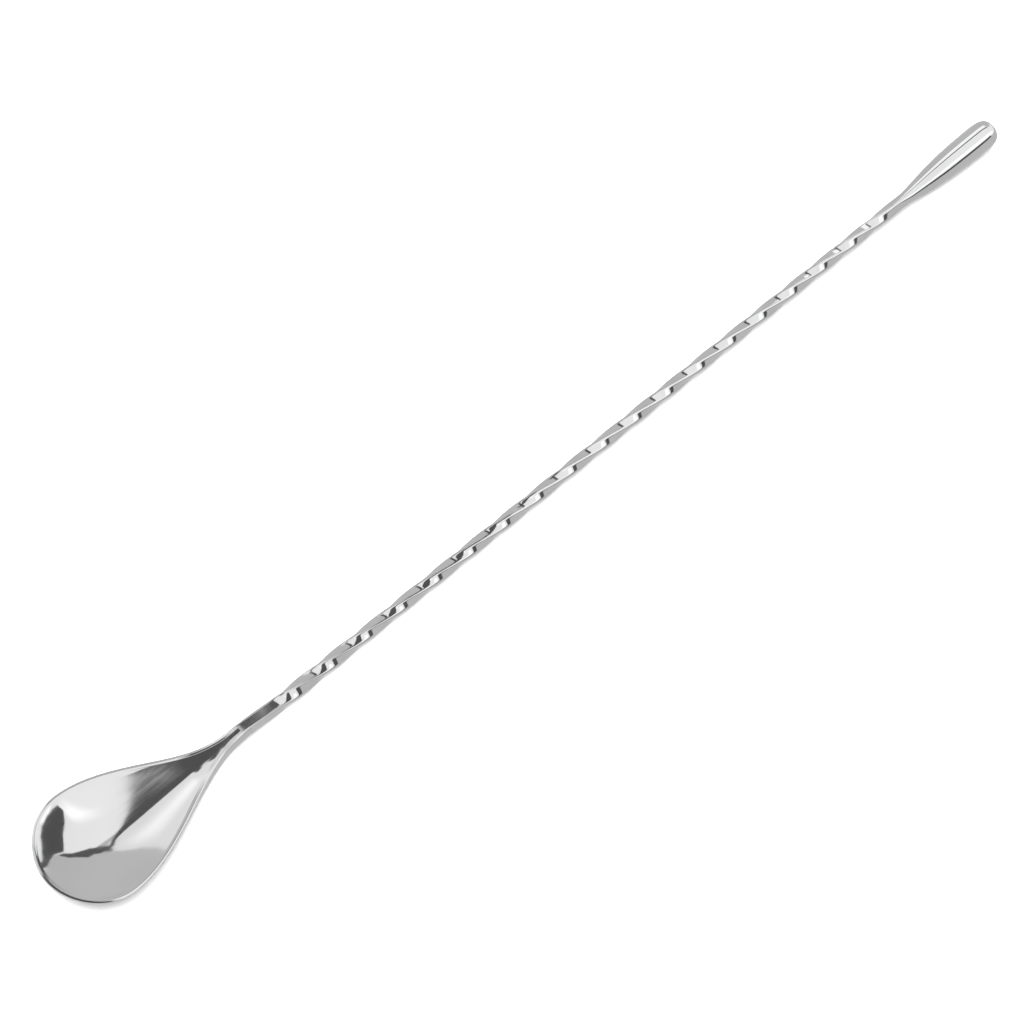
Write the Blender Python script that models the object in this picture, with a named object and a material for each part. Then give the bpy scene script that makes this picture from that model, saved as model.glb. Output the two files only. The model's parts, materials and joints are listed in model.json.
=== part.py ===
"""Bar spoon: teardrop bowl, right-handed twisted square stem and a turned drop counterweight.

Frame: +X runs along the stem from the bowl to the drop, +Z is up and the open side of the bowl
faces up. The origin is under the middle of the spoon, on the surface it lies on: the belly of
the bowl and the drop touch it, so the stem slopes up slightly towards the drop. Inside each
piece's mesh the stem's axis is Y = 0, Z = 0, and X = 0 is the plane where the piece is joined.
"""

import math

import bmesh
import bpy
from mathutils import Matrix

MM = 0.001
QUARTER_TURN = math.pi / 2

# Overall
OVERALL_LENGTH = 302.8 * MM
TIP_X = -OVERALL_LENGTH / 2
END_X = OVERALL_LENGTH / 2
FIT_GAP = 0.3 * MM

# Outline of the bowl and neck, seen from above: two cubic curves as (x, half width)
WIDEST_X = TIP_X + 13.4 * MM
BOWL_HALF_WIDTH = 14.86 * MM
NECK_HALF_WIDTH = 1.63 * MM
NECK_START_X = TIP_X + 52.1 * MM
NOSE_OUTLINE = (
    (TIP_X, 0.0),
    (TIP_X, 7.1 * MM),
    (WIDEST_X - 7.75 * MM, BOWL_HALF_WIDTH),
    (WIDEST_X, BOWL_HALF_WIDTH),
)
SHOULDER_OUTLINE = (
    (WIDEST_X, BOWL_HALF_WIDTH),
    (WIDEST_X + 13.9 * MM, BOWL_HALF_WIDTH),
    (NECK_START_X - 11.8 * MM, NECK_HALF_WIDTH),
    (NECK_START_X, NECK_HALF_WIDTH),
)

# Side view of the upper edge: one cubic curve as (x, height over the stem's axis), then an arch
DIP_X = TIP_X + 41.5 * MM
DIP_HEIGHT = 1.56 * MM
EDGE_LINE = (
    (TIP_X, 4.77 * MM),
    (TIP_X + 21.0 * MM, 4.73 * MM),
    (TIP_X + 33.4 * MM, DIP_HEIGHT),
    (DIP_X, DIP_HEIGHT),
)
ARCH_X = TIP_X + 55.0 * MM
ARCH_END_X = TIP_X + 66.0 * MM
ARCH_RISE = 1.22 * MM

# Bowl wall
DISH_DEPTH = 4.7 * MM
DEPTH_GROWTH = -0.7  # power of the width's share that keeps the bowl deep towards the neck
RIM_WIDTH = 1.0 * MM
RIM_THICKNESS = 0.6 * MM
FLOOR_THICKNESS = 1.1 * MM
EDGE_RADIUS = (0.28 * MM, 0.55 * MM)  # at the bowl and at the neck
CREST_LENGTH = 0.15 * MM  # rounding between the dish and the rim
THICKENING_X = (TIP_X + 29.0 * MM, TIP_X + 51.0 * MM)
DISH_FADE_X = (TIP_X + 39.0 * MM, TIP_X + 50.0 * MM)

# Twisted square stem
STEM_START_X = TIP_X + 55.0 * MM
TWIST_START_X = TIP_X + 64.5 * MM
TWIST_END_X = TIP_X + 263.7 * MM
TWIST_TURNS = 4.66
TWIST_EASE = 2.0 * MM
SIDE_AT_NECK = 3.1 * MM
SIDE_ALONG_STEM = 2.85 * MM
SLIMMING_LENGTH = 34.0 * MM
CORNER_AT_NECK = 0.5 * MM
CORNER_ALONG_STEM = 0.66 * MM
STEM_END_X = TIP_X + 266.0 * MM

# Butt weld between the neck and the stem: both ends are bevelled and meet at a small core
CORE_SHARE = 0.5  # of the full section
WELD_BEVEL = 1.1 * MM

# Turned drop, with its profile as two cubic curves (x, radius)
DROP_RADIUS = 3.8 * MM
DROP_END_FLAT_RADIUS = 1.4 * MM
DROP_FULL_X = END_X - 5.0 * MM
DROP_ROUND_X = STEM_END_X + 6.5 * MM
DROP_BODY = (
    (STEM_END_X, 1.45 * MM),
    (STEM_END_X + 10.0 * MM, 1.5 * MM),
    (STEM_END_X + 12.4 * MM, DROP_RADIUS),
    (DROP_FULL_X, DROP_RADIUS),
)
DROP_NOSE = (
    (DROP_FULL_X, DROP_RADIUS),
    (END_X - 0.6 * MM, DROP_RADIUS),
    (END_X, 3.03 * MM),
    (END_X, DROP_END_FLAT_RADIUS),
)

# Brazed spigot joint between the stem and the drop
TENON_RADIUS = 0.72 * MM
TENON_LENGTH = 7.0 * MM
TENON_CHAMFER = 0.25 * MM
SOCKET_RADIUS = TENON_RADIUS + FIT_GAP
SOCKET_DEPTH = TENON_LENGTH + 0.8 * MM
DRILL_POINT = 0.5 * MM
BRAZE_WIDTH = 0.6 * MM

# Mesh density
NOSE_STEPS = 12
SHOULDER_STEPS = 20
NECK_STEPS = 2
DISH_STEPS = 12
EDGE_STEPS = 2
STEM_STEP = 1.35 * MM
STEM_CORNER_POINTS = 3
DROP_CORNER_POINTS = 6
DROP_BODY_STEPS = 16
DROP_NOSE_STEPS = 8
SOLVER_STEPS = 40
SETTLING_STEPS = 5
SLOPE_STEP = 1e-4


def smooth_step(start, end, x):
    """0 before start, 1 after end, and an even S between them."""
    share = min(max((x - start) / (end - start), 0.0), 1.0)
    return share * share * (3 - 2 * share)


def cubic(curve, t):
    """The point of a cubic Bezier curve at t."""
    weights = ((1 - t) ** 3, 3 * t * (1 - t) ** 2, 3 * t * t * (1 - t), t ** 3)
    return tuple(sum(w * point[axis] for w, point in zip(weights, curve)) for axis in (0, 1))


def cubic_height(curve, x):
    """The second coordinate of a Bezier curve where its rising first coordinate is x."""
    low, high = 0.0, 1.0
    for _ in range(SOLVER_STEPS):
        middle = (low + high) / 2
        if cubic(curve, middle)[0] < x:
            low = middle
        else:
            high = middle
    return cubic(curve, (low + high) / 2)[1]


def arch(x):
    """How far the neck stands above the stem's own line."""
    return ARCH_RISE * (smooth_step(DIP_X, ARCH_X, x) - smooth_step(ARCH_X, ARCH_END_X, x))


def edge_height(x):
    """Height of the rim, and of the neck's flat top, over the stem's axis."""
    return cubic_height(EDGE_LINE, min(x, DIP_X)) + arch(x)


def half_width(x):
    if x < WIDEST_X:
        return cubic_height(NOSE_OUTLINE, x)
    return cubic_height(SHOULDER_OUTLINE, min(x, NECK_START_X))


def edge_thickness(x):
    """Thickness at the outer edge: thin along the rim, a full bar at the neck."""
    return RIM_THICKNESS + (SIDE_AT_NECK - RIM_THICKNESS) * smooth_step(*THICKENING_X, x)


def edge_radius(x):
    thin, full = EDGE_RADIUS
    return thin + (full - thin) * smooth_step(*THICKENING_X, x)


def dish_share(x):
    """1 in the bowl, fading to 0 where the neck's top becomes flat."""
    return 1 - smooth_step(*DISH_FADE_X, x)


def outline_point(t):
    """(x, half width, inward normal x, inward normal y) at t: 0 the tip, 1 the widest, 2 the neck."""
    curve = NOSE_OUTLINE if t < 1 else SHOULDER_OUTLINE
    share = t if t < 1 else t - 1
    x, width = cubic(curve, share)
    before = cubic(curve, share - SLOPE_STEP)
    after = cubic(curve, share + SLOPE_STEP)
    run, rise = after[0] - before[0], after[1] - before[1]
    length = math.hypot(run, rise)
    return x, width, rise / length, -run / length


def inner_half_width(x):
    """Half width of the dish, whose edge lies RIM_WIDTH inside the outline."""
    low, high = 0.0, 2.0
    for _ in range(SOLVER_STEPS):
        middle = (low + high) / 2
        outline_x, _, normal_x, _ = outline_point(middle)
        if outline_x + normal_x * RIM_WIDTH < x:
            low = middle
        else:
            high = middle
    _, width, _, normal_y = outline_point(low)
    return width + normal_y * RIM_WIDTH


def dished(x, y, depth, width, widest):
    """How far a parabolic hollow lies below its edge, at depth where it is widest."""
    growth = (width / widest) ** DEPTH_GROWTH if x > WIDEST_X else 1.0
    return depth * dish_share(x) * growth * (width ** 2 - y ** 2) / widest ** 2


def dish_height(x, y):
    """The hollow upper surface."""
    widest = BOWL_HALF_WIDTH - RIM_WIDTH
    return edge_height(x) - dished(x, y, DISH_DEPTH, inner_half_width(x), widest)


def belly_height(x, y):
    """The lower surface, flat below the neck; FLOOR_THICKNESS lies over the widest point."""
    depth = DISH_DEPTH + FLOOR_THICKNESS - RIM_THICKNESS
    below_edge = edge_thickness(x) + dished(x, y, depth, half_width(x), BOWL_HALF_WIDTH)
    return edge_height(x) - below_edge


def outline_stations():
    """(x, half width, inward normal x, inward normal y) from the tip to the weld."""
    stations = [outline_point(step / NOSE_STEPS) for step in range(NOSE_STEPS)]
    stations += [outline_point(1 + step / SHOULDER_STEPS) for step in range(SHOULDER_STEPS)]
    weld_face = STEM_START_X - FIT_GAP / 2 - WELD_BEVEL
    for step in range(NECK_STEPS + 1):
        x = NECK_START_X + (weld_face - NECK_START_X) * step / NECK_STEPS
        stations.append((x, NECK_HALF_WIDTH, 0.0, -1.0))
    return stations


def rounded_corner(start, corner, end, steps):
    """Points from start to end that round off the corner between them."""
    points = []
    for step in range(steps + 1):
        t = step / steps
        weights = ((1 - t) ** 2, 2 * t * (1 - t), t * t)
        parts = zip(start, corner, end)
        points.append(tuple(sum(w * value for w, value in zip(weights, part)) for part in parts))
    return points


def edge_profile(station):
    """Points round one edge: from the dish over the crest and the rim, and down to the belly."""
    x, width, normal_x, normal_y = station
    top = edge_height(x)
    bottom = top - edge_thickness(x)
    radius = edge_radius(x)

    def inset(distance, height=None):
        inset_x = x + normal_x * distance
        inset_y = max(width + normal_y * distance, 0.0)
        if height is None:
            height = edge_height(inset_x)
        return inset_x, inset_y, height

    dish_x, dish_y, _ = inset(RIM_WIDTH + CREST_LENGTH)
    dish_point = (dish_x, dish_y, dish_height(dish_x, dish_y))
    belly_x, belly_y, _ = inset(radius)
    belly_point = (belly_x, belly_y, belly_height(belly_x, belly_y))
    crest = rounded_corner(dish_point, inset(RIM_WIDTH), inset(RIM_WIDTH - CREST_LENGTH), EDGE_STEPS)
    rim = rounded_corner(inset(radius, top), inset(0.0, top), inset(0.0, top - radius), EDGE_STEPS)
    lower_start = inset(0.0, bottom + radius)
    lower = rounded_corner(lower_start, inset(0.0, bottom), belly_point, EDGE_STEPS)
    return crest + rim + lower


def across(profile_point, height_of):
    """Points from +Y to -Y over the dish or the belly, between the two edge profiles."""
    x, width, _ = profile_point
    points = []
    for step in range(1, DISH_STEPS):
        y = width * math.cos(math.pi * step / DISH_STEPS)
        points.append((x, y, height_of(x, y)))
    return points


def bowl_section(station):
    """One closed loop around the bowl or neck: over the top, round one edge and back below."""
    profile = edge_profile(station)
    top = across(profile[0], dish_height)
    below = across(profile[-1], belly_height)
    mirrored = [(x, -y, z) for x, y, z in profile]
    return top + mirrored + below[::-1] + profile[::-1]


def rounded_square(x, side, corner, angle, points, rise=0.0):
    """A ring of 4 * points vertices around the axis; a corner of side / 2 makes it a circle."""
    centre = side / 2 - corner
    ring = []
    for quarter in range(4):
        for point in range(points):
            turn = QUARTER_TURN * (point + 0.5) / points
            y = centre + corner * math.cos(turn)
            z = centre + corner * math.sin(turn)
            for_quarter = angle + QUARTER_TURN * quarter
            cosine, sine = math.cos(for_quarter), math.sin(for_quarter)
            ring.append((x, y * cosine - z * sine, y * sine + z * cosine + rise))
    return ring


def circle(x, radius, angle, points):
    return rounded_square(x, 2 * radius, radius, angle, points)


def loft(name, rings, closed=False):
    """A solid through rings of equal length: capped at both ends, or joined end to end."""
    mesh = bpy.data.meshes.new(name)
    shape = bmesh.new()
    rows = [[shape.verts.new(point) for point in ring] for ring in rings]
    pairs = list(zip(rows, rows[1:]))
    if closed:
        pairs.append((rows[-1], rows[0]))
    for first, second in pairs:
        for index in range(len(first)):
            after = (index + 1) % len(first)
            shape.faces.new((first[index], first[after], second[after], second[index]))
    if not closed:
        shape.faces.new(rows[0][::-1])
        shape.faces.new(rows[-1])
    bmesh.ops.remove_doubles(shape, verts=shape.verts, dist=0.0001 * MM)
    bmesh.ops.recalc_face_normals(shape, faces=shape.faces)
    shape.to_mesh(mesh)
    shape.free()
    mesh.shade_smooth()
    mesh.set_sharp_from_angle(angle=math.radians(40))
    return mesh


def steel(name, roughness, shade):
    """Polished stainless steel."""
    material = bpy.data.materials.new(name)
    material.use_nodes = True
    shader = material.node_tree.nodes["Principled BSDF"]
    shader.inputs["Base Color"].default_value = (*shade, 1.0)
    shader.inputs["Metallic"].default_value = 1.0
    shader.inputs["Roughness"].default_value = roughness
    return material


def place(name, mesh, joint_x, material, parent):
    """A named object whose origin is on the stem's axis, in its joint's plane."""
    piece = bpy.data.objects.new(name, mesh)
    bpy.context.scene.collection.objects.link(piece)
    piece.parent = parent
    piece.location = (joint_x, 0.0, 0.0)
    mesh.materials.append(material)
    return piece


def shifted(rings, joint_x):
    return [[(x - joint_x, y, z) for x, y, z in ring] for ring in rings]


def shrunk(ring, x, share):
    """A ring scaled about its own middle and moved along to x."""
    middle_y = sum(point[1] for point in ring) / len(ring)
    middle_z = sum(point[2] for point in ring) / len(ring)
    return [
        (x, middle_y + (y - middle_y) * share, middle_z + (z - middle_z) * share)
        for _, y, z in ring
    ]


def eased(distance):
    """distance, once positive, with its start rounded over TWIST_EASE on each side of 0."""
    if distance <= -TWIST_EASE:
        return 0.0
    if distance >= TWIST_EASE:
        return distance
    return (distance + TWIST_EASE) ** 2 / (4 * TWIST_EASE)


def twist_angle(x):
    per_metre = 2 * math.pi * TWIST_TURNS / (TWIST_END_X - TWIST_START_X)
    return per_metre * (eased(x - TWIST_START_X) - eased(x - TWIST_END_X))


def stem_ring(x):
    slim = smooth_step(TWIST_START_X, TWIST_START_X + SLIMMING_LENGTH, x)
    side = SIDE_AT_NECK + (SIDE_ALONG_STEM - SIDE_AT_NECK) * slim
    corner = CORNER_AT_NECK + (CORNER_ALONG_STEM - CORNER_AT_NECK) * slim
    return rounded_square(x, side, corner, twist_angle(x), STEM_CORNER_POINTS, arch(x))


def make_bowl(material, parent):
    """Bowl and neck, one forging, bevelled for the weld at its end."""
    rings = [bowl_section(station) for station in outline_stations()]
    rings.append(shrunk(rings[-1], STEM_START_X - FIT_GAP / 2, CORE_SHARE))
    return place("bowl", loft("bowl", shifted(rings, STEM_START_X)), STEM_START_X, material, parent)


def make_neck_weld(material, parent):
    """Filler in the groove between the two bevelled ends, a wedge-shaped square ring."""
    full = stem_ring(STEM_START_X)
    slope = math.atan2(SIDE_AT_NECK / 2 * (1 - CORE_SHARE), WELD_BEVEL)
    clearance = FIT_GAP / math.sin(slope)
    half_top = WELD_BEVEL + FIT_GAP / 2 - clearance
    half_root = 0.1 * MM
    root_share = CORE_SHARE + (1 - CORE_SHARE) * (clearance + half_root) / WELD_BEVEL
    rings = [
        shrunk(full, STEM_START_X - half_top, 1.0),
        shrunk(full, STEM_START_X + half_top, 1.0),
        shrunk(full, STEM_START_X + half_root, root_share),
        shrunk(full, STEM_START_X - half_root, root_share),
    ]
    mesh = loft("neck_weld", shifted(rings, STEM_START_X), closed=True)
    return place("neck_weld", mesh, STEM_START_X, material, parent)


def make_stem(material, parent):
    """The square bar: bevelled end, set down to the axis, twisted, and a turned tenon."""
    weld_face = STEM_START_X + FIT_GAP / 2
    first_x = weld_face + WELD_BEVEL
    last_x = STEM_END_X - BRAZE_WIDTH / 2 - FIT_GAP
    steps = round((last_x - first_x) / STEM_STEP)
    rings = [stem_ring(first_x + (last_x - first_x) * step / steps) for step in range(steps + 1)]
    rings.insert(0, shrunk(rings[0], weld_face, CORE_SHARE))
    angle = twist_angle(last_x)
    tenon_end = STEM_END_X + TENON_LENGTH
    for x, radius in (
        (last_x, TENON_RADIUS),
        (tenon_end - TENON_CHAMFER, TENON_RADIUS),
        (tenon_end, TENON_RADIUS - TENON_CHAMFER),
    ):
        rings.append(circle(x, radius, angle, STEM_CORNER_POINTS))
    mesh = loft("twisted_stem", shifted(rings, STEM_START_X))
    return place("twisted_stem", mesh, STEM_START_X, material, parent)


def make_braze(material, parent):
    """Filler ring between the stem's shoulder and the drop's mouth, around the tenon."""
    angle = twist_angle(STEM_END_X)
    near, far = STEM_END_X - BRAZE_WIDTH / 2, STEM_END_X + BRAZE_WIDTH / 2
    rings = [
        rounded_square(near, SIDE_ALONG_STEM, CORNER_ALONG_STEM, angle, DROP_CORNER_POINTS),
        rounded_square(far, SIDE_ALONG_STEM, CORNER_ALONG_STEM, angle, DROP_CORNER_POINTS),
        circle(far, SOCKET_RADIUS, angle, DROP_CORNER_POINTS),
        circle(near, SOCKET_RADIUS, angle, DROP_CORNER_POINTS),
    ]
    mesh = loft("counterweight_braze", shifted(rings, STEM_END_X), closed=True)
    return place("counterweight_braze", mesh, STEM_END_X, material, parent)


def drop_ring(x, radius):
    """Square where it meets the stem, and round from DROP_ROUND_X on."""
    roundness = smooth_step(STEM_END_X, DROP_ROUND_X, x)
    side = 2 * radius + (SIDE_ALONG_STEM - 2 * radius) * (1 - roundness)
    corner = CORNER_ALONG_STEM + (side / 2 - CORNER_ALONG_STEM) * roundness
    return rounded_square(x, side, corner, twist_angle(STEM_END_X), DROP_CORNER_POINTS)


def make_socket_cutter(mouth_x):
    """The drilled hole with its conical bottom, longer than the wall at the mouth."""
    bottom = STEM_END_X + SOCKET_DEPTH
    rings = [
        circle(mouth_x - 1.0 * MM, SOCKET_RADIUS, 0.0, DROP_CORNER_POINTS),
        circle(bottom, SOCKET_RADIUS, 0.0, DROP_CORNER_POINTS),
        circle(bottom + DRILL_POINT, SOCKET_RADIUS / 10, 0.0, DROP_CORNER_POINTS),
    ]
    cutter = bpy.data.objects.new("socket_cutter", loft("socket_cutter", shifted(rings, STEM_END_X)))
    bpy.context.scene.collection.objects.link(cutter)
    cutter.hide_render = True
    cutter.display_type = "WIRE"
    return cutter


def make_drop(material, parent):
    """The turned drop with its blind socket."""
    mouth_x = STEM_END_X + BRAZE_WIDTH / 2 + FIT_GAP
    start_radius = cubic_height(DROP_BODY, mouth_x)
    rings = [drop_ring(mouth_x, start_radius)]
    for curve, steps in ((DROP_BODY, DROP_BODY_STEPS), (DROP_NOSE, DROP_NOSE_STEPS)):
        for step in range(1, steps + 1):
            x, radius = cubic(curve, step / steps)
            if x > mouth_x + FIT_GAP:
                rings.append(drop_ring(x, radius))
    mesh = loft("drop_counterweight", shifted(rings, STEM_END_X))
    drop = place("drop_counterweight", mesh, STEM_END_X, material, parent)
    cutter = make_socket_cutter(mouth_x)
    cutter.parent = parent
    cutter.location = drop.location
    socket = drop.modifiers.new("socket", "BOOLEAN")
    socket.operation = "DIFFERENCE"
    socket.solver = "EXACT"
    socket.object = cutter
    return drop


def lay_down(spoon, pieces):
    """Tilts the spoon until the belly and the drop touch Z = 0, with its length centred on X = 0."""
    points = [piece.location + vertex.co for piece in pieces for vertex in piece.data.vertices]
    slope = 0.0
    for _ in range(SETTLING_STEPS):
        belly = min((p for p in points if p.x < 0), key=lambda p: p.z - slope * p.x)
        drop = min((p for p in points if p.x > 0), key=lambda p: p.z - slope * p.x)
        slope = (drop.z - belly.z) / (drop.x - belly.x)
    tilt = Matrix.Rotation(math.atan(slope), 4, "Y")
    turned = [tilt @ point for point in points]
    middle = (min(p.x for p in turned) + max(p.x for p in turned)) / 2
    spoon.matrix_world = Matrix.Translation((-middle, 0.0, -min(p.z for p in turned))) @ tilt


def main():
    for leftover in list(bpy.data.objects):
        bpy.data.objects.remove(leftover)
    spoon = bpy.data.objects.new("bar_spoon", None)
    bpy.context.scene.collection.objects.link(spoon)
    pieces = [
        make_bowl(steel("bowl_steel", 0.12, (0.78, 0.78, 0.79)), spoon),
        make_neck_weld(steel("weld_steel", 0.18, (0.74, 0.74, 0.75)), spoon),
        make_stem(steel("stem_steel", 0.14, (0.77, 0.77, 0.78)), spoon),
        make_braze(steel("braze_metal", 0.20, (0.76, 0.75, 0.73)), spoon),
        make_drop(steel("drop_steel", 0.10, (0.78, 0.78, 0.79)), spoon),
    ]
    lay_down(spoon, pieces)


main()
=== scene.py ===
"""Looks of the bar spoon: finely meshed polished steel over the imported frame, studio and camera.

Everything is in metres in the row's frame: +X along the stem from the bowl to the drop, +Z up.
Shape formulas are the part's own, drawn with many more points and with closed joints.
"""

import functools
import json
import math

import bmesh
import bpy
from mathutils import Matrix, Quaternion, Vector


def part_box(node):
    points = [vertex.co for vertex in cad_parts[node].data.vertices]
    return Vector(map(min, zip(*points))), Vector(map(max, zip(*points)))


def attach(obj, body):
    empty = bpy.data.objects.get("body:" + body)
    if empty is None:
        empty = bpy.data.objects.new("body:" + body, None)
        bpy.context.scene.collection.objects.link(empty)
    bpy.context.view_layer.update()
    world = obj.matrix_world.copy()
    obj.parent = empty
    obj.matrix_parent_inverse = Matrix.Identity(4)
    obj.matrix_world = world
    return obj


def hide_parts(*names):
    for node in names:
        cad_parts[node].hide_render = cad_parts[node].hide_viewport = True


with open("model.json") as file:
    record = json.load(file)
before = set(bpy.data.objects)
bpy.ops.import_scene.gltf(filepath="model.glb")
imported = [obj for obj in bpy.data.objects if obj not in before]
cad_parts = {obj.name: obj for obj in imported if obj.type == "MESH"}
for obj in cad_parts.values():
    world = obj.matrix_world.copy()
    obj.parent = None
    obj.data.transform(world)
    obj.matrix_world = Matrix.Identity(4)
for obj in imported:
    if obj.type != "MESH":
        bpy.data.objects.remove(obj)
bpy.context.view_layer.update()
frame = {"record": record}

MM = 0.001
QUARTER_TURN = math.pi / 2

# Overall. The drop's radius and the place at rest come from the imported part
_, drop_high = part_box("drop_counterweight")
drop_end = frame["record"]["mounts"][0]
OVERALL_LENGTH = 302.8 * MM
INSIDE_CAD = 0.001 * MM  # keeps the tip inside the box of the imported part
DROP_INSIDE_CAD = 0.008 * MM  # keeps the finer, rounder drop inside it
TIP_X = -OVERALL_LENGTH / 2 + INSIDE_CAD
END_X = OVERALL_LENGTH / 2
JOINT_GAP = 0.01 * MM

# Outline of the bowl and neck, seen from above
WIDEST_X = TIP_X + 13.4 * MM
BOWL_HALF_WIDTH = 14.86 * MM
NECK_HALF_WIDTH = 1.63 * MM
NECK_START_X = TIP_X + 52.1 * MM
NOSE_OUTLINE = (
    (TIP_X, 0.0),
    (TIP_X, 7.1 * MM),
    (WIDEST_X - 7.75 * MM, BOWL_HALF_WIDTH),
    (WIDEST_X, BOWL_HALF_WIDTH),
)
SHOULDER_OUTLINE = (
    (WIDEST_X, BOWL_HALF_WIDTH),
    (WIDEST_X + 13.9 * MM, BOWL_HALF_WIDTH),
    (NECK_START_X - 11.8 * MM, NECK_HALF_WIDTH),
    (NECK_START_X, NECK_HALF_WIDTH),
)

# Side view of the upper edge over the stem's axis
DIP_X = TIP_X + 41.5 * MM
DIP_HEIGHT = 1.56 * MM
EDGE_LINE = (
    (TIP_X, 4.77 * MM),
    (TIP_X + 21.0 * MM, 4.73 * MM),
    (TIP_X + 33.4 * MM, DIP_HEIGHT),
    (DIP_X, DIP_HEIGHT),
)
ARCH_X = TIP_X + 55.0 * MM
ARCH_END_X = TIP_X + 66.0 * MM
ARCH_RISE = 1.22 * MM

# Bowl wall
DISH_DEPTH = 4.7 * MM
DEPTH_GROWTH = -0.7  # power of the width's share that keeps the bowl deep towards the neck
RIM_WIDTH = 1.0 * MM
RIM_CROWN = 0.04 * MM
RIM_THICKNESS = 0.6 * MM
FLOOR_THICKNESS = 1.06 * MM
EDGE_RADIUS = (0.28 * MM, 0.55 * MM)  # at the bowl and at the neck
CREST_LENGTH = 0.15 * MM
THICKENING_X = (TIP_X + 29.0 * MM, TIP_X + 51.0 * MM)
DISH_FADE_X = (TIP_X + 39.0 * MM, TIP_X + 50.0 * MM)

# Twisted square stem
STEM_START_X = TIP_X + 55.0 * MM
TWIST_START_X = TIP_X + 64.5 * MM
TWIST_END_X = TIP_X + 263.7 * MM
TWIST_TURNS = 4.66
TWIST_EASE = 2.0 * MM
SIDE_AT_NECK = 3.1 * MM
SIDE_ALONG_STEM = 2.85 * MM
SLIMMING_LENGTH = 34.0 * MM
CORNER_AT_NECK = 0.5 * MM
CORNER_ALONG_STEM = 0.66 * MM
STEM_END_X = TIP_X + 266.0 * MM

# Weld, drop and spigot joint
CORE_SHARE = 0.5
WELD_BEVEL = 1.1 * MM
DROP_RADIUS = drop_high.y - DROP_INSIDE_CAD
DROP_END_FLAT_RADIUS = 1.4 * MM
DROP_FULL_X = END_X - 5.0 * MM
DROP_ROUND_X = STEM_END_X + 6.5 * MM
DROP_BODY = (
    (STEM_END_X, 1.45 * MM),
    (STEM_END_X + 10.0 * MM, 1.5 * MM),
    (STEM_END_X + 12.4 * MM, DROP_RADIUS),
    (DROP_FULL_X, DROP_RADIUS),
)
DROP_NOSE = (
    (DROP_FULL_X, DROP_RADIUS),
    (END_X - 0.6 * MM, DROP_RADIUS),
    (END_X, 3.03 * MM),
    (END_X, DROP_END_FLAT_RADIUS),
)
TENON_RADIUS = 0.72 * MM
TENON_LENGTH = 7.0 * MM
TENON_CHAMFER = 0.25 * MM
SOCKET_DEPTH = 7.8 * MM
SOCKET_END_SHARE = 0.1  # of the bore, for the small face that closes the socket
BRAZE_WIDTH = 0.6 * MM
SQUARE, ROUND = 0.0, 1.0  # how round a ring of the drop is

# Mesh density
NOSE_STEPS = 56
SHOULDER_STEPS = 110
NECK_STEPS = 10
DISH_STEPS = 64
EDGE_STEPS = 6
LAND_STEPS = 6
STEM_STEP = 0.32 * MM
CORNER_STEPS = 6
FLAT_STEPS = 6
DROP_BODY_STEPS = 90
DROP_NOSE_STEPS = 40
DROP_CORNER_STEPS = 20
SOLVER_STEPS = 40
SLOPE_STEP = 1e-4
SHARP_ANGLE = math.radians(24)
MERGE_DISTANCE = 0.0001 * MM

# Steel of each piece: roughness, scratch height, wave height and wave size
STEELS = {
    "bowl_steel": (0.07, 0.0002 * MM, 0.004 * MM, 12 * MM),
    "weld_steel": (0.09, 0.0002 * MM, 0.004 * MM, 12 * MM),
    "stem_steel": (0.08, 0.0003 * MM, 0.006 * MM, 5 * MM),
    "braze_metal": (0.09, 0.0002 * MM, 0.004 * MM, 12 * MM),
    "drop_steel": (0.06, 0.0002 * MM, 0.002 * MM, 12 * MM),
}

# Steel of all pieces: its colour, and how its patterns run
STEEL_COLOUR = (0.70, 0.70, 0.705)
LINES_SCALE = (60.0, 1400.0, 1400.0)  # per metre, so that buffing lines run along the spoon
LINES_DETAIL = 4.0
WAVES_DETAIL = 1.5
NOISE_RANGE = (0.3, 0.7)
GLOSS_RANGE = (0.8, 1.25)
TINT_RANGE = (0.97, 1.03)

# Studio: glow of the panels and the world, the floor's paper and the lamp
DARK_GLOW = 0.1
DARK_LINE_GLOW = 0.12
WORLD_GLOW = 0.64
BACK_GLOW = 1.0
LIGHT_GLOW = 1.12
STREAK_GLOW = 1.3
WHITE_GLOW = 1.5
PAPER_SHADE = 0.9
PAPER_ROUGHNESS = 0.9
FLOOR_HALF_SIZE = 3.0
LAMP_HEIGHT = 1.6
LAMP_SIZE = 1.6
LAMP_POWER = 60.0

# Studio: where the panels stand. A nearer one hides the ones behind it
SIDE_DISTANCE = 3.0
BACK_DISTANCE = 2.5
PATCH_DISTANCE = 2.0
STREAK_DISTANCE = 1.8
LINE_DISTANCE = 1.5
GAP_DISTANCE = 1.4
CRESCENT_DISTANCE = 0.18
STRIP_DISTANCE = 0.1
CARD_CUTS = 4  # in every edge of a panel, so that it follows its sphere
MIDDLE_ATTRIBUTE = "middle"  # 1 in the middle of a fading panel and 0 along its edge

# Studio: where along the spoon the panels' spheres are centred
BOWL_X = TIP_X + 22.5 * MM
CRESCENT_X = TIP_X + 5.0 * MM
DROP_X = END_X - 17.5 * MM

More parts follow.
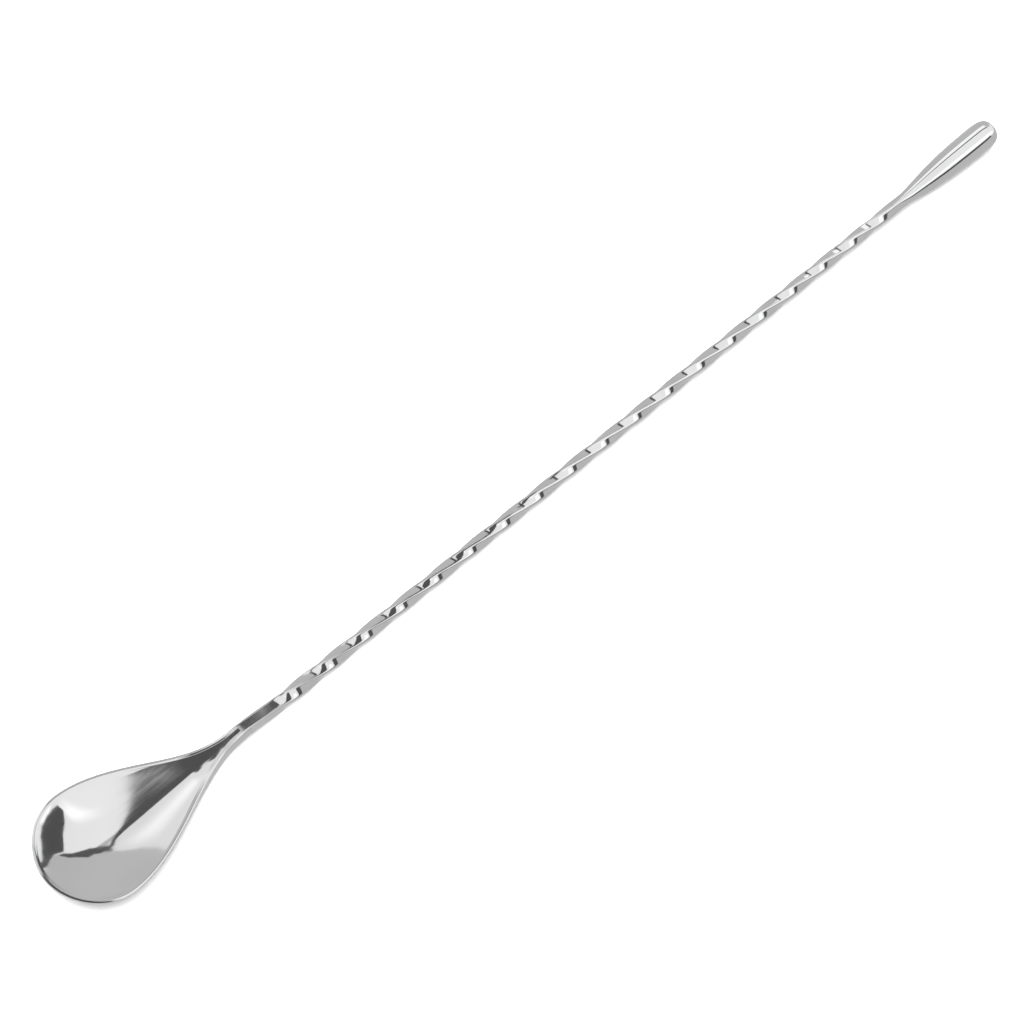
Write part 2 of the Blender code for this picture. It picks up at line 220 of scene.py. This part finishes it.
# Studio: outlines of the panels on the direction map, which seen_direction describes
BRIGHT_SIDE_OUTLINE = [
    (-0.12, 0.21), (0.02, 0.17), (0.3, 0.12), (0.46, 0.06), (0.55, 0.05), (0.63, 0.05),
    (0.68, 0.25), (0.82, 0.25), (0.88, 0.0), (0.8, -0.3), (0.6, -0.56), (0.42, -0.68), (0.2, -0.75),
    (-0.2, -0.78), (-0.55, -0.6), (-0.8, -0.2), (-0.8, 0.2),
]
WHITE_LOW_OUTLINE = [
    (0.15, -0.42), (0.3, -0.33), (0.42, -0.28), (0.6, -0.26), (0.68, -0.36), (0.5, -0.46),
    (0.36, -0.5), (0.15, -0.55),
]
STREAK_OUTLINE = [
    (0.08, -0.42), (0.18, -0.38), (0.15, -0.2), (0.09, -0.1), (0.02, -0.04), (0.0, -0.12),
    (0.03, -0.22),
]
LIGHT_BACK_OUTLINE = [
    (0.073, 0.2), (0.076, 0.323), (0.049, 0.447), (0.026, 0.55), (-0.002, 0.752), (-0.022, 0.95),
    (-0.4, 0.85), (-0.6, 0.5), (-0.6, 0.2),
]
BACK_STREAK_OUTLINE = [
    (0.06, 0.26), (0.055, 0.4), (-0.01, 0.7), (-0.09, 0.6), (-0.05, 0.35), (0.0, 0.26),
]
DARK_LINE_OUTLINE = [
    (0.073, 0.239), (0.096, 0.167), (0.169, 0.125), (0.285, 0.104), (0.393, 0.088), (0.465, 0.059),
    (0.521, 0.068), (0.447, 0.125), (0.37, 0.152), (0.31, 0.182), (0.26, 0.21), (0.182, 0.21),
    (0.097, 0.25), (0.076, 0.32),
]
DARK_LOW_LINE_OUTLINE = [
    (-0.1, -0.64), (0.13, -0.64), (0.24, -0.615), (0.385, -0.57), (0.55, -0.45), (0.65, -0.53),
    (0.46, -0.76), (0.29, -0.83), (0.16, -0.86), (-0.1, -0.86),
]
DARK_GAP_OUTLINE = [
    (-0.075, -0.3), (-0.037, -0.162), (-0.014, -0.045), (0.005, 0.069), (0.025, 0.146),
    (0.045, 0.174), (0.065, 0.213), (0.075, 0.25), (0.066, 0.275), (0.053, 0.225), (0.042, 0.216),
    (0.024, 0.207), (-0.028, 0.204), (-0.055, 0.21), (-0.07, 0.3), (-0.09, 0.3), (-0.105, 0.23),
    (-0.25, 0.2), (-0.25, -0.31),
]
DARK_DIAGONAL_OUTLINE = [
    (0.175, -0.32), (0.155, -0.27), (0.222, -0.19), (0.334, -0.098), (0.448, 0.053), (0.544, 0.058),
    (0.6, 0.105), (0.64, 0.17), (0.66, 0.225), (0.672, 0.187), (0.668, 0.141), (0.63, 0.09),
    (0.605, 0.013), (0.535, -0.126), (0.465, -0.205), (0.35, -0.275), (0.25, -0.308),
]
BRIGHT_STRIP_OUTLINE = [
    (0.0, 0.17), (0.24, 0.155), (0.45, 0.13), (0.47, 0.31), (0.25, 0.36), (0.0, 0.37),
]

# Camera, with a long lens: looking down on the spoon from beside its tip
CAMERA_AZIMUTH = math.radians(-40.485)
CAMERA_ELEVATION = math.radians(61.713)
CAMERA_DISTANCE = 558.37 * MM
CAMERA_ROLL = math.radians(-1.963)
CAMERA_LENS = 83.07  # millimetres, on a sensor of CAMERA_SENSOR
CAMERA_SENSOR = 36.0
CAMERA_NEAR = 0.01
CAMERA_TARGET = Vector((TIP_X + 137.0 * MM, 0.685 * MM, 0.0))


def smooth_step(start, end, x):
    """0 before start, 1 after end, and an even S between them."""
    share = min(max((x - start) / (end - start), 0.0), 1.0)
    return share * share * (3 - 2 * share)


def cubic(curve, t):
    """The point of a cubic Bezier curve at t."""
    weights = ((1 - t) ** 3, 3 * t * (1 - t) ** 2, 3 * t * t * (1 - t), t ** 3)
    return tuple(sum(w * point[axis] for w, point in zip(weights, curve)) for axis in (0, 1))


def cubic_height(curve, x):
    """The second coordinate of a Bezier curve where its rising first coordinate is x."""
    low, high = 0.0, 1.0
    for _ in range(SOLVER_STEPS):
        middle = (low + high) / 2
        if cubic(curve, middle)[0] < x:
            low = middle
        else:
            high = middle
    return cubic(curve, (low + high) / 2)[1]


def arch(x):
    """How far the neck stands above the stem's own line."""
    return ARCH_RISE * (smooth_step(DIP_X, ARCH_X, x) - smooth_step(ARCH_X, ARCH_END_X, x))


@functools.lru_cache(maxsize=None)
def edge_height(x):
    """Height of the rim, and of the neck's flat top, over the stem's axis."""
    return cubic_height(EDGE_LINE, min(x, DIP_X)) + arch(x)


@functools.lru_cache(maxsize=None)
def half_width(x):
    """Half the width of the bowl or neck, seen from above."""
    if x < WIDEST_X:
        return cubic_height(NOSE_OUTLINE, x)
    return cubic_height(SHOULDER_OUTLINE, min(x, NECK_START_X))


def edge_thickness(x):
    """Thickness at the outer edge: thin along the rim, a full bar at the neck."""
    return RIM_THICKNESS + (SIDE_AT_NECK - RIM_THICKNESS) * smooth_step(*THICKENING_X, x)


def edge_radius(x):
    """Rounding of the outer edge."""
    thin, full = EDGE_RADIUS
    return thin + (full - thin) * smooth_step(*THICKENING_X, x)


def dish_share(x):
    """1 in the bowl, fading to 0 where the neck's top becomes flat."""
    return 1 - smooth_step(*DISH_FADE_X, x)


def outline_point(t):
    """(x, half width, inward normal x, inward normal y) at t: 0 the tip, 1 the widest, 2 the neck."""
    curve = NOSE_OUTLINE if t < 1 else SHOULDER_OUTLINE
    share = t if t < 1 else t - 1
    x, width = cubic(curve, share)
    before = cubic(curve, share - SLOPE_STEP)
    after = cubic(curve, share + SLOPE_STEP)
    run, rise = after[0] - before[0], after[1] - before[1]
    length = math.hypot(run, rise)
    return x, width, rise / length, -run / length


@functools.lru_cache(maxsize=None)
def inner_half_width(x):
    """Half width of the dish, whose edge lies RIM_WIDTH inside the outline."""
    low, high = 0.0, 2.0
    for _ in range(SOLVER_STEPS):
        middle = (low + high) / 2
        outline_x, _, normal_x, _ = outline_point(middle)
        if outline_x + normal_x * RIM_WIDTH < x:
            low = middle
        else:
            high = middle
    _, width, _, normal_y = outline_point(low)
    return width + normal_y * RIM_WIDTH


def dished(x, y, depth, width, widest):
    """How far a parabolic hollow lies below its edge, at depth where it is widest."""
    growth = (width / widest) ** DEPTH_GROWTH if x > WIDEST_X else 1.0
    return depth * dish_share(x) * growth * (width ** 2 - y ** 2) / widest ** 2


def dish_height(x, y):
    """The hollow upper surface."""
    widest = BOWL_HALF_WIDTH - RIM_WIDTH
    return edge_height(x) - dished(x, y, DISH_DEPTH, inner_half_width(x), widest)


def belly_height(x, y):
    """The lower surface, flat below the neck; FLOOR_THICKNESS lies over the widest point."""
    depth = DISH_DEPTH + FLOOR_THICKNESS - RIM_THICKNESS
    below_edge = edge_thickness(x) + dished(x, y, depth, half_width(x), BOWL_HALF_WIDTH)
    return edge_height(x) - below_edge


def outline_stations(end_x):
    """(x, half width, inward normal x, inward normal y) from the tip to end_x on the neck."""
    stations = [outline_point(step / NOSE_STEPS) for step in range(NOSE_STEPS)]
    stations += [outline_point(1 + step / SHOULDER_STEPS) for step in range(SHOULDER_STEPS)]
    for step in range(NECK_STEPS + 1):
        x = NECK_START_X + (end_x - NECK_START_X) * step / NECK_STEPS
        stations.append((x, NECK_HALF_WIDTH, 0.0, -1.0))
    return stations


def rounded_corner(start, corner, end, steps):
    """Points from start to end that round off the corner between them."""
    points = []
    for step in range(steps + 1):
        t = step / steps
        weights = ((1 - t) ** 2, 2 * t * (1 - t), t * t)
        parts = zip(start, corner, end)
        points.append(tuple(sum(w * value for w, value in zip(weights, part)) for part in parts))
    return points


def edge_profile(station):
    """Points round one edge: from the dish over the crest and the rim, and down to the belly."""
    x, width, normal_x, normal_y = station
    top = edge_height(x)
    bottom = top - edge_thickness(x)
    radius = edge_radius(x)

    def inset(distance, height=None):
        inset_x = x + normal_x * distance
        inset_y = max(width + normal_y * distance, 0.0)
        if height is None:
            height = edge_height(inset_x)
        return inset_x, inset_y, height

    def crowned(distance):
        """A point of the rim's top, which falls away by RIM_CROWN towards both its sides."""
        inset_x, inset_y, height = inset(distance)
        middle = (RIM_WIDTH - CREST_LENGTH + radius) / 2
        share = (distance - middle) / (middle - radius)
        return inset_x, inset_y, height - RIM_CROWN * share * share

    dish_x, dish_y, _ = inset(RIM_WIDTH + CREST_LENGTH)
    dish_point = (dish_x, dish_y, dish_height(dish_x, dish_y))
    belly_x, belly_y, _ = inset(radius)
    belly_point = (belly_x, belly_y, belly_height(belly_x, belly_y))
    land_start = RIM_WIDTH - CREST_LENGTH
    crest = rounded_corner(dish_point, crowned(RIM_WIDTH), crowned(land_start), EDGE_STEPS)
    land = []
    for step in range(1, LAND_STEPS):
        land.append(crowned(land_start + (radius - land_start) * step / LAND_STEPS))
    outer = inset(0.0, top - RIM_CROWN)
    rim = rounded_corner(crowned(radius), outer, inset(0.0, top - radius), EDGE_STEPS)
    lower_start = inset(0.0, bottom + radius)
    lower = rounded_corner(lower_start, inset(0.0, bottom), belly_point, EDGE_STEPS)
    return crest + land + rim + lower


def across(profile_point, height_of):
    """Points from +Y to -Y over the dish or the belly, between the two edge profiles."""
    x, width, _ = profile_point
    points = []
    for step in range(1, DISH_STEPS):
        y = width * math.cos(math.pi * step / DISH_STEPS)
        points.append((x, y, height_of(x, y)))
    return points


def bowl_section(station):
    """One closed loop around the bowl or neck: over the top, round one edge and back below."""
    profile = edge_profile(station)
    top = across(profile[0], dish_height)
    below = across(profile[-1], belly_height)
    mirrored = [(x, -y, z) for x, y, z in profile]
    return top + mirrored + below[::-1] + profile[::-1]


def rounded_square(x, side, corner, angle, rise=0.0, corner_steps=CORNER_STEPS):
    """A ring around the axis with rounded corners and points along its flats."""
    centre = side / 2 - corner
    quarter_points = []
    for step in range(FLAT_STEPS):
        share = -1 + 2 * (step + 0.5) / FLAT_STEPS
        quarter_points.append((side / 2, centre * share))
    for step in range(corner_steps + 1):
        turn = QUARTER_TURN * step / corner_steps
        quarter_points.append((centre + corner * math.cos(turn), centre + corner * math.sin(turn)))
    ring = []
    for quarter in range(4):
        turn = angle + QUARTER_TURN * quarter
        cosine, sine = math.cos(turn), math.sin(turn)
        for y, z in quarter_points:
            ring.append((x, y * cosine - z * sine, y * sine + z * cosine + rise))
    return ring


def loft(name, rings, closed=False):
    """A solid through rings of equal length: capped at both ends, or joined end to end."""
    mesh = bpy.data.meshes.new(name)
    shape = bmesh.new()
    rows = [[shape.verts.new(point) for point in ring] for ring in rings]
    pairs = list(zip(rows, rows[1:]))
    if closed:
        pairs.append((rows[-1], rows[0]))
    for first, second in pairs:
        for index in range(len(first)):
            after = (index + 1) % len(first)
            shape.faces.new((first[index], first[after], second[after], second[index]))
    if not closed:
        shape.faces.new(rows[0][::-1])
        shape.faces.new(rows[-1])
    bmesh.ops.remove_doubles(shape, verts=shape.verts, dist=MERGE_DISTANCE)
    bmesh.ops.recalc_face_normals(shape, faces=shape.faces)
    shape.to_mesh(mesh)
    shape.free()
    mesh.shade_smooth()
    mesh.set_sharp_from_angle(angle=SHARP_ANGLE)
    return mesh


def shrunk(ring, x, share):
    """A ring scaled about its own middle and moved along to x."""
    middle_y = sum(point[1] for point in ring) / len(ring)
    middle_z = sum(point[2] for point in ring) / len(ring)
    return [
        (x, middle_y + (y - middle_y) * share, middle_z + (z - middle_z) * share)
        for _, y, z in ring
    ]


def eased(distance):
    """distance, once positive, with its start rounded over TWIST_EASE on each side of 0."""
    if distance <= -TWIST_EASE:
        return 0.0
    if distance >= TWIST_EASE:
        return distance
    return (distance + TWIST_EASE) ** 2 / (4 * TWIST_EASE)


def twist_angle(x):
    """How far the bar is turned about its axis at x."""
    per_metre = 2 * math.pi * TWIST_TURNS / (TWIST_END_X - TWIST_START_X)
    return per_metre * (eased(x - TWIST_START_X) - eased(x - TWIST_END_X))


def stem_ring(x):
    """Section of the stem: a rounded square, a little slimmer past the neck."""
    slim = smooth_step(TWIST_START_X, TWIST_START_X + SLIMMING_LENGTH, x)
    side = SIDE_AT_NECK + (SIDE_ALONG_STEM - SIDE_AT_NECK) * slim
    corner = CORNER_AT_NECK + (CORNER_ALONG_STEM - CORNER_AT_NECK) * slim
    return rounded_square(x, side, corner, twist_angle(x), arch(x))


def rest_place():
    """From the stem's axis, level and centred, to where it lies at rest, told by the drop's end."""
    along = Vector(drop_end["axis"]).normalized()
    turn = Matrix(((along.x, 0.0, -along.z), (0.0, 1.0, 0.0), (along.z, 0.0, along.x)))
    shift = Vector(drop_end["pos_m"]) - turn @ Vector((END_X, 0.0, 0.0))
    return Matrix.Translation(shift) @ turn.to_4x4()


def add_piece(name, rings, material, node, closed=False):
    """A shown piece of the object that stands for its CAD node."""
    mesh = loft(name, rings, closed)
    mesh.transform(rest_place())
    piece = bpy.data.objects.new(name, mesh)
    piece.data.materials.append(material)
    bpy.context.scene.collection.objects.link(piece)
    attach(piece, "root")
    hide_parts(node)


def make_bowl(material):
    """The bowl with its neck, bevelled at its end for the weld."""
    weld_face = STEM_START_X - JOINT_GAP / 2
    stations = outline_stations(weld_face - WELD_BEVEL)
    rings = [bowl_section(station) for station in stations]
    rings.append(shrunk(rings[-1], weld_face, CORE_SHARE))
    add_piece("bowl_and_neck", rings, material, "bowl")


def make_neck_weld(material):
    """Filler ring flush with the bars that it joins, wedge-shaped towards their cores."""
    half_top = WELD_BEVEL - JOINT_GAP
    half_root = JOINT_GAP
    root_share = CORE_SHARE + 2 * JOINT_GAP / WELD_BEVEL
    ends = [stem_ring(STEM_START_X - half_top), stem_ring(STEM_START_X + half_top)]
    full = stem_ring(STEM_START_X)
    rings = [
        ends[0],
        full,
        ends[1],
        shrunk(full, STEM_START_X + half_root, root_share),
        shrunk(full, STEM_START_X - half_root, root_share),
    ]
    add_piece("weld_ring", rings, material, "neck_weld", closed=True)


def make_stem(material):
    """The square bar: bevelled end, set down to the axis, twisted, and a turned tenon."""
    weld_face = STEM_START_X + JOINT_GAP / 2
    first_x = weld_face + WELD_BEVEL
    last_x = STEM_END_X - BRAZE_WIDTH / 2 - JOINT_GAP
    steps = round((last_x - first_x) / STEM_STEP)
    rings = [stem_ring(first_x + (last_x - first_x) * step / steps) for step in range(steps + 1)]
    rings.insert(0, shrunk(rings[0], weld_face, CORE_SHARE))
    angle = twist_angle(last_x)
    tenon_end = STEM_END_X + TENON_LENGTH
    for x, radius in (
        (last_x, TENON_RADIUS),
        (tenon_end - TENON_CHAMFER, TENON_RADIUS),
        (tenon_end, TENON_RADIUS - TENON_CHAMFER),
    ):
        rings.append(rounded_square(x, 2 * radius, radius, angle))
    add_piece("twisted_stem_bar", rings, material, "twisted_stem")


def drop_ring(x, radius, roundness=None):
    """Square where it meets the stem, and round from DROP_ROUND_X on."""
    if roundness is None:
        roundness = smooth_step(STEM_END_X, DROP_ROUND_X, x)
    side = 2 * radius + (SIDE_ALONG_STEM - 2 * radius) * (1 - roundness)
    corner = CORNER_ALONG_STEM + (side / 2 - CORNER_ALONG_STEM) * roundness
    angle = twist_angle(STEM_END_X)
    return rounded_square(x, side, corner, angle, corner_steps=DROP_CORNER_STEPS)


def make_braze(material):
    """Filler ring between the stem's shoulder and the drop's mouth, around the tenon."""
    near, far = STEM_END_X - BRAZE_WIDTH / 2, STEM_END_X + BRAZE_WIDTH / 2
    bore = TENON_RADIUS + JOINT_GAP
    rings = [
        drop_ring(near, SIDE_ALONG_STEM / 2, SQUARE),
        drop_ring(far, SIDE_ALONG_STEM / 2, SQUARE),
        drop_ring(far, bore, ROUND),
        drop_ring(near, bore, ROUND),
    ]
    node = "counterweight_braze"
    add_piece("braze_ring", rings, material, node, closed=True)


def make_drop(material):
    """The turned drop, with the blind socket for the tenon lofted inwards from its mouth."""
    mouth_x = STEM_END_X + BRAZE_WIDTH / 2 + JOINT_GAP
    bore = TENON_RADIUS + JOINT_GAP
    socket_end = STEM_END_X + SOCKET_DEPTH
    rings = [
        drop_ring(socket_end, bore * SOCKET_END_SHARE, ROUND),
        drop_ring(socket_end, bore, ROUND),
        drop_ring(mouth_x, bore, ROUND),
        drop_ring(mouth_x, cubic_height(DROP_BODY, mouth_x)),
    ]
    for curve, steps in ((DROP_BODY, DROP_BODY_STEPS), (DROP_NOSE, DROP_NOSE_STEPS)):
        for step in range(1, steps + 1):
            x, radius = cubic(curve, step / steps)
            if x > mouth_x + JOINT_GAP:
                rings.append(drop_ring(x, radius))
    add_piece("drop", rings, material, "drop_counterweight")


def polished_steel(name):
    """Polished stainless steel: faint lengthwise buffing lines, soft waves and uneven gloss."""
    roughness, scratch_height, wave_height, wave_size = STEELS[name]
    material = bpy.data.materials.new(name)
    material.use_nodes = True
    nodes = material.node_tree.nodes
    links = material.node_tree.links
    shader = nodes["Principled BSDF"]
    shader.inputs["Metallic"].default_value = 1.0

    place = nodes.new("ShaderNodeTexCoord")
    lines_place = nodes.new("ShaderNodeMapping")
    lines_place.inputs["Scale"].default_value = LINES_SCALE
    links.new(place.outputs["Object"], lines_place.inputs["Vector"])
    lines = nodes.new("ShaderNodeTexNoise")
    lines.inputs["Scale"].default_value = 1.0
    lines.inputs["Detail"].default_value = LINES_DETAIL
    links.new(lines_place.outputs["Vector"], lines.inputs["Vector"])

    waves = nodes.new("ShaderNodeTexNoise")
    waves.inputs["Scale"].default_value = 1.0 / wave_size
    waves.inputs["Detail"].default_value = WAVES_DETAIL
    links.new(place.outputs["Object"], waves.inputs["Vector"])

    wave_bump = nodes.new("ShaderNodeBump")
    wave_bump.inputs["Strength"].default_value = 1.0
    wave_bump.inputs["Distance"].default_value = wave_height
    links.new(waves.outputs["Fac"], wave_bump.inputs["Height"])
    line_bump = nodes.new("ShaderNodeBump")
    line_bump.inputs["Strength"].default_value = 1.0
    line_bump.inputs["Distance"].default_value = scratch_height
    links.new(lines.outputs["Fac"], line_bump.inputs["Height"])
    links.new(wave_bump.outputs["Normal"], line_bump.inputs["Normal"])
    links.new(line_bump.outputs["Normal"], shader.inputs["Normal"])

    gloss = nodes.new("ShaderNodeMapRange")
    gloss.inputs["From Min"].default_value = NOISE_RANGE[0]
    gloss.inputs["From Max"].default_value = NOISE_RANGE[1]
    gloss.inputs["To Min"].default_value = roughness * GLOSS_RANGE[0]
    gloss.inputs["To Max"].default_value = roughness * GLOSS_RANGE[1]
    links.new(lines.outputs["Fac"], gloss.inputs["Value"])
    links.new(gloss.outputs["Result"], shader.inputs["Roughness"])

    tint = nodes.new("ShaderNodeMapRange")
    tint.data_type = "FLOAT_VECTOR"
    # The vector's own range sockets, which have the same names as the plain ones
    from_min, from_max, to_min, to_max = tint.inputs[7:11]
    from_min.default_value = (NOISE_RANGE[0],) * 3
    from_max.default_value = (NOISE_RANGE[1],) * 3
    to_min.default_value = tuple(TINT_RANGE[0] * channel for channel in STEEL_COLOUR)
    to_max.default_value = tuple(TINT_RANGE[1] * channel for channel in STEEL_COLOUR)
    links.new(waves.outputs["Fac"], tint.inputs["Vector"])
    links.new(tint.outputs["Vector"], shader.inputs["Base Color"])
    return material


def matt(name, shade):
    """Plain matt paper that mirrors nothing."""
    material = bpy.data.materials.new(name)
    material.use_nodes = True
    shader = material.node_tree.nodes["Principled BSDF"]
    shader.inputs["Base Color"].default_value = (shade, shade, shade, 1.0)
    shader.inputs["Roughness"].default_value = PAPER_ROUGHNESS
    shader.inputs["Specular IOR Level"].default_value = 0.0
    return material


def glowing(name, strength, edge_strength):
    """Plain light, or fading from the middle of the card to its edge."""
    material = bpy.data.materials.new(name)
    material.use_nodes = True
    nodes = material.node_tree.nodes
    links = material.node_tree.links
    nodes.remove(nodes["Principled BSDF"])
    emission = nodes.new("ShaderNodeEmission")
    emission.inputs["Strength"].default_value = strength
    links.new(emission.outputs[0], nodes["Material Output"].inputs["Surface"])
    if edge_strength is not None:
        middle = nodes.new("ShaderNodeAttribute")
        middle.attribute_name = MIDDLE_ATTRIBUTE
        fade = nodes.new("ShaderNodeMapRange")
        fade.interpolation_type = "SMOOTHSTEP"
        fade.inputs["To Min"].default_value = edge_strength
        fade.inputs["To Max"].default_value = strength
        links.new(middle.outputs["Fac"], fade.inputs["Value"])
        links.new(fade.outputs["Result"], emission.inputs["Strength"])
    return material


def seen_direction(x, y):
    """Unit vector whose stereographic map coordinates, from the zenith, are x and y."""
    square = x * x + y * y
    return Vector((2 * x, 2 * y, 1 - square)) / (1 + square)


def dome_card(name, outline, distance, strength, edge_strength=None, centre_x=BOWL_X):
    """A panel on a sphere around a point under the spoon, its outline drawn on the direction map."""
    shape = bmesh.new()
    face = shape.faces.new([shape.verts.new((x, y, 0.0)) for x, y in outline])
    face.normal_update()
    fades = edge_strength is not None
    if fades:
        bmesh.ops.poke(shape, faces=[face])
    else:
        bmesh.ops.triangulate(shape, faces=[face])
        bmesh.ops.subdivide_edges(shape, edges=shape.edges, cuts=CARD_CUTS, use_grid_fill=True)
    centre = Vector((centre_x, 0.0, 0.0))
    for vertex in shape.verts:
        vertex.co = centre + seen_direction(vertex.co.x, vertex.co.y) * distance
    mesh = bpy.data.meshes.new(name)
    shape.to_mesh(mesh)
    shape.free()
    if fades:
        # The poke above adds the middle's vertex after those of the outline
        middle = mesh.attributes.new(MIDDLE_ATTRIBUTE, "FLOAT", "POINT")
        middle.data[len(outline)].value = 1.0
    card = bpy.data.objects.new(name, mesh)
    bpy.context.scene.collection.objects.link(card)
    mesh.materials.append(glowing(name, strength, edge_strength))
    card.visible_camera = False
    card.visible_diffuse = False
    card.visible_shadow = False


def make_studio():
    """Panels that only the steel mirrors: bright side, lighter back, white streaks, dark gaps."""
    dome_card("bright_side", BRIGHT_SIDE_OUTLINE, SIDE_DISTANCE, LIGHT_GLOW)
    dome_card("white_low", WHITE_LOW_OUTLINE, PATCH_DISTANCE, WHITE_GLOW)
    dome_card("streak", STREAK_OUTLINE, STREAK_DISTANCE, WHITE_GLOW, LIGHT_GLOW)
    dome_card("light_back", LIGHT_BACK_OUTLINE, BACK_DISTANCE, BACK_GLOW)
    dome_card("back_streak", BACK_STREAK_OUTLINE, PATCH_DISTANCE, STREAK_GLOW, BACK_GLOW)
    dome_card("dark_line", DARK_LINE_OUTLINE, LINE_DISTANCE, DARK_LINE_GLOW)
    dome_card("dark_low_line", DARK_LOW_LINE_OUTLINE, LINE_DISTANCE, DARK_GLOW)
    dome_card("dark_gap", DARK_GAP_OUTLINE, GAP_DISTANCE, DARK_GLOW)
    dome_card(
        "dark_diagonal",
        DARK_DIAGONAL_OUTLINE,
        CRESCENT_DISTANCE,
        DARK_GLOW,
        centre_x=CRESCENT_X,
    )
    dome_card("bright_strip", BRIGHT_STRIP_OUTLINE, STRIP_DISTANCE, STREAK_GLOW, centre_x=DROP_X)


def make_floor():
    """White paper that the spoon lies on, which its steel doesn't mirror."""
    half = FLOOR_HALF_SIZE
    mesh = bpy.data.meshes.new("floor")
    mesh.from_pydata(
        [(-half, -half, 0.0), (half, -half, 0.0), (half, half, 0.0), (-half, half, 0.0)],
        [],
        [(0, 1, 2, 3)],
    )
    floor = bpy.data.objects.new("floor", mesh)
    mesh.materials.append(matt("floor_paper", PAPER_SHADE))
    bpy.context.scene.collection.objects.link(floor)
    floor.visible_glossy = False


def make_world(strength):
    """An even white surrounding."""
    world = bpy.data.worlds.new("studio")
    world.use_nodes = True
    background = world.node_tree.nodes["Background"]
    background.inputs["Color"].default_value = (1.0, 1.0, 1.0, 1.0)
    background.inputs["Strength"].default_value = strength
    bpy.context.scene.world = world


def make_lamp(name, place, size, power):
    """A soft square lamp that shines at the middle of the spoon and isn't mirrored."""
    light = bpy.data.lights.new(name, "AREA")
    light.shape = "SQUARE"
    light.size = size
    light.energy = power
    lamp = bpy.data.objects.new(name, light)
    lamp.location = place
    lamp.rotation_mode = "QUATERNION"
    lamp.rotation_quaternion = (-Vector(place)).to_track_quat("-Z", "Y")
    lamp.visible_camera = False
    lamp.visible_glossy = False
    bpy.context.scene.collection.objects.link(lamp)


def make_camera():
    """The shown view, set out over the level spoon and then laid down with it."""
    back = Vector(
        (
            math.sin(CAMERA_AZIMUTH) * math.cos(CAMERA_ELEVATION),
            -math.cos(CAMERA_AZIMUTH) * math.cos(CAMERA_ELEVATION),
            math.sin(CAMERA_ELEVATION),
        )
    )
    camera = bpy.data.objects.new("camera", bpy.data.cameras.new("camera"))
    camera.data.lens = CAMERA_LENS
    camera.data.sensor_width = CAMERA_SENSOR
    camera.data.clip_start = CAMERA_NEAR
    level = (-back).to_track_quat("-Z", "Y")
    turn = level @ Quaternion((0.0, 0.0, 1.0), CAMERA_ROLL)
    place = Matrix.LocRotScale(CAMERA_TARGET + back * CAMERA_DISTANCE, turn, None)
    camera.matrix_world = rest_place() @ place
    bpy.context.scene.collection.objects.link(camera)
    bpy.context.scene.camera = camera


def make_spoon():
    """The five pieces, each with its own steel."""
    make_bowl(polished_steel("bowl_steel"))
    make_neck_weld(polished_steel("weld_steel"))
    make_stem(polished_steel("stem_steel"))
    make_braze(polished_steel("braze_metal"))
    make_drop(polished_steel("drop_steel"))


def main():
    """The object, its studio and camera."""
    make_spoon()
    make_floor()
    make_world(WORLD_GLOW)
    make_lamp("floor_light", (0.0, 0.0, LAMP_HEIGHT), LAMP_SIZE, LAMP_POWER)
    make_studio()
    make_camera()
    bpy.context.scene.view_settings.view_transform = "Standard"
    bpy.context.view_layer.update()


main()
